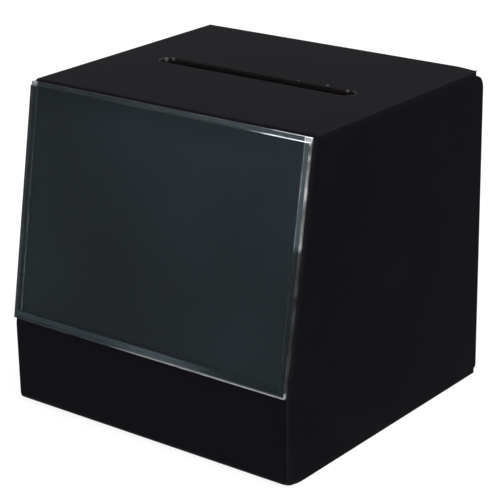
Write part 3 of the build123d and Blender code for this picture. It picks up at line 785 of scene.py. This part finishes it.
# %% Build the bent sheet
MERGE_DISTANCE, SLIVER_WIDTH = 0.001, 0.003
SHEET_SHARP_ANGLE = radians(24.0)

build = bmesh.new()
build.from_mesh(wrap_node.data)
bmesh.ops.remove_doubles(build, verts=build.verts, dist=MERGE_DISTANCE * MM)
cuts = [((x, 0, 0), (1, 0, 0)) for x in CUTS_ACROSS]
cuts += [((0, FRONT_Y + BEND_MIDDLE + behind, 0), (0, 1, 0)) for behind in CUTS_ALONG]
for through, facing in cuts:
    every = build.verts[:] + build.edges[:] + build.faces[:]
    bmesh.ops.bisect_plane(build, geom=every, dist=MERGE_DISTANCE * MM, plane_co=Vector(through) * MM,
                           plane_no=facing)
bmesh.ops.triangulate(build, faces=build.faces[:])
bmesh.ops.dissolve_degenerate(build, dist=SLIVER_WIDTH * MM, edges=build.edges[:])
wrap_mesh = bpy.data.meshes.new("eased_bent_sheet")
build.to_mesh(wrap_mesh)
build.free()

flat = np.empty(3 * len(wrap_mesh.vertices))
wrap_mesh.vertices.foreach_get("co", flat)
wrap_mesh.vertices.foreach_set("co", (eased(flat.reshape(-1, 3) / MM) * MM).ravel())
wrap_mesh.polygons.foreach_set("use_smooth", np.full(len(wrap_mesh.polygons), True))
wrap_mesh.set_sharp_from_angle(angle=SHEET_SHARP_ANGLE)
wrap_mesh.materials.clear()
wrap_mesh.materials.append(wrap_finish)
wrap_mesh.update()
bent_sheet = bpy.data.objects.new("eased_bent_sheet", wrap_mesh)
scene.collection.objects.link(bent_sheet)
bent_sheet.modifiers.new("flat_face_normals", "WEIGHTED_NORMAL").keep_sharp = True
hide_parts("wrap_panel")
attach(bent_sheet, "box")


def volume_of(piece):
    """Volume of a closed mesh in cubic millimetres; it is positive when the faces point outwards."""
    return sum(face.center.dot(face.normal) * face.area for face in piece.data.polygons) / 3 / MM ** 3


print("bent sheet faces:", len(wrap_mesh.polygons), "volume, mm3:", round(volume_of(bent_sheet)))

# %% [markdown]
# ## Lock body
# The lock is a bright barrel: a flange outside the door, and behind it a threaded body with two flats that keep
# it from turning in the door's hole. The CAD keeps the thread as a plain cylinder. A Screw modifier could turn a
# zigzag line into a helix, but its ends would need trimming and the flats a Boolean. As a surface it is simpler:
# the radius is a saw-tooth of the distance along the axis plus the share of a turn, and a flat is only a limit
# on the radius.

# %% Sizes of the lock body
FLANGE_RADIUS, FLANGE_DEPTH, FLANGE_EASE, FLANGE_STEPS = 10.0, 2.2, 0.7, 6
BODY_RADIUS, BODY_LENGTH, HALF_FLATS = 8.0, 12.0, 6.75
BORE_RADIUS = 5.55
THREAD_PITCH, THREAD_DEPTH, END_EASE = 1.5, 0.55, 0.15
THREAD_CREST, THREAD_WALLS = 0.15, 0.7  # shares of the folded saw-tooth
RUN_IN_START, RUN_IN, RUN_OUT = 0.5, 1.0, 0.8
LUG_INNER, LUG_OUTER, LUG_HEIGHT, LUG_HALF_ARC = 6.1, 7.8, 0.8, radians(12.0)
LUG_WALL_ARC = radians(0.4)  # the arc over which the lug rises
LUG_SLOPE = 0.02  # how far the lug's inner and outer walls lean
lock_low, lock_high = (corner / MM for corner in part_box("lock_housing"))
LOCK_FACE_Y = lock_high.y - FLANGE_DEPTH
LOCK_Z = (lock_low.z + lock_high.z) / 2
print("lock axis at z", round(LOCK_Z, 2), "door face at y", round(LOCK_FACE_Y, 2))


# %% Thread and outline
def thread_radius(axial, angle):
    """Radius of the threaded body. The saw-tooth is the fractional part of axial / pitch + angle / turn, folded
    into a triangle and cut flat at crest and root. It fades out near both ends, and the flats cap the radius."""
    turn = np.mod(axial / THREAD_PITCH + angle / (2 * np.pi), 1.0)
    groove = np.clip((1 - np.abs(2 * turn - 1) - THREAD_CREST) / THREAD_WALLS, 0, 1)
    run_in = np.clip((-axial - RUN_IN_START) / RUN_IN, 0, 1)
    run_out = np.clip((BODY_LENGTH + axial) / RUN_OUT, 0, 1)
    end_drop = END_EASE * np.clip(1 - (BODY_LENGTH + axial) / END_EASE, 0, 1)
    radius = BODY_RADIUS - np.maximum(THREAD_DEPTH * groove * run_in * run_out, end_drop)
    return np.minimum(radius, HALF_FLATS / np.maximum(np.abs(np.sin(angle)), TINY))


def lock_surface(columns=96, thread_rows=96):
    """The lock body as one closed surface. Its rings follow the profile once round: out along the flange's face,
    over its rounded rim, down its back, along the thread, in along the end face with the raised lug, and back
    through the bore. Each ring has an axial place and a radius for every angle."""
    wall = np.array([LUG_HALF_ARC, LUG_HALF_ARC + LUG_WALL_ARC])
    angle = np.sort(np.concatenate([2 * np.pi * np.arange(columns) / columns, wall, 2 * np.pi - wall]))
    level = np.ones_like(angle)
    rings = [(FLANGE_DEPTH * level, BORE_RADIUS * level)]
    for turn in np.linspace(0, np.pi / 2, FLANGE_STEPS):
        rings.append(((FLANGE_DEPTH - FLANGE_EASE * (1 - np.cos(turn))) * level,
                      (FLANGE_RADIUS - FLANGE_EASE * (1 - np.sin(turn))) * level))
    rings.append((0 * level, FLANGE_RADIUS * level))
    for axial in np.linspace(0, -BODY_LENGTH, thread_rows):
        rings.append((axial * level, thread_radius(axial * level, angle)))
    end_radius = thread_radius(-BODY_LENGTH * level, angle)
    within_lug = (np.abs(np.angle(np.exp(1j * angle))) <= LUG_HALF_ARC + TINY).astype(float)
    lug_rings = ((LUG_OUTER, 0), (LUG_OUTER - LUG_SLOPE, 1), (LUG_INNER + LUG_SLOPE, 1), (LUG_INNER, 0))
    reach = BODY_RADIUS - END_EASE - BORE_RADIUS
    for radius, raised in lug_rings:
        share = (radius - BORE_RADIUS) / reach
        rings.append((-BODY_LENGTH - LUG_HEIGHT * raised * within_lug,
                      BORE_RADIUS + (end_radius - BORE_RADIUS) * share))
    rings.append((-BODY_LENGTH * level, BORE_RADIUS * level))
    axial, radius = (np.array(part) for part in zip(*rings))
    points = np.stack([radius * np.sin(angle), LOCK_FACE_Y + axial, LOCK_Z + radius * np.cos(angle)], axis=-1)
    row, column = np.meshgrid(np.arange(len(rings)), np.arange(len(angle)), indexing="ij")
    next_row, next_column = (row + 1) % len(rings), (column + 1) % len(angle)
    quads = np.stack([row * len(angle) + column, next_row * len(angle) + column,
                      next_row * len(angle) + next_column, row * len(angle) + next_column], axis=-1)
    return points.reshape(-1, 3) * MM, quads.reshape(-1, 4).tolist()


# %% Build the lock body
LOCK_SHARP_ANGLE = radians(32.0)

lock_body = object_from("threaded_lock_body", *lock_surface(), smooth=True)
lock_body.data.set_sharp_from_angle(angle=LOCK_SHARP_ANGLE)
lock_body.data.materials.append(chrome_finish)
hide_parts("lock_housing")
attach(lock_body, "door")
print("lock body faces:", len(lock_body.data.polygons), "volume, mm3:", round(volume_of(lock_body)))

# %% [markdown]
# ## Dressing the CAD nodes
# Each node of the CAD frame keeps its mesh and its place, and gets its finish in its own material slot. The two
# nodes that a new piece replaces get theirs as well, so the table below covers the whole frame.

# %% Finish of each node
DRESSED = (
    (wrap_finish, "wrap_panel"),
    (side_finish, "left_side_panel", "right_side_panel"),
    (rear_finish, "rear_header", "rear_sill", "door_stop_left", "door_stop_right", "rear_door"),
    (backing_finish, "sign_backing"),
    (pane_finish, "sign_pane"),
    (strip_finish, "sign_rail_left", "sign_rail_right", "sign_rail_bottom"),
    (hinge_finish, "hinge_body_leaf", "hinge_door_leaf", "hinge_pin"),
    (rivet_finish, "hinge_body_rivets", "hinge_door_rivets"),
    (chrome_finish, "lock_housing", "lock_plug"),
    (zinc_finish, "lock_washer", "lock_nut", "lock_stop_washer", "lock_cam", "cam_screw"),
)
dressed_nodes = 0
for finish, *node_names in DRESSED:
    for node_name in node_names:
        for material_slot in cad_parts[node_name].material_slots:
            material_slot.material = finish
        dressed_nodes += 1
print("dressed nodes:", dressed_nodes, "of", len(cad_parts))

# %% [markdown]
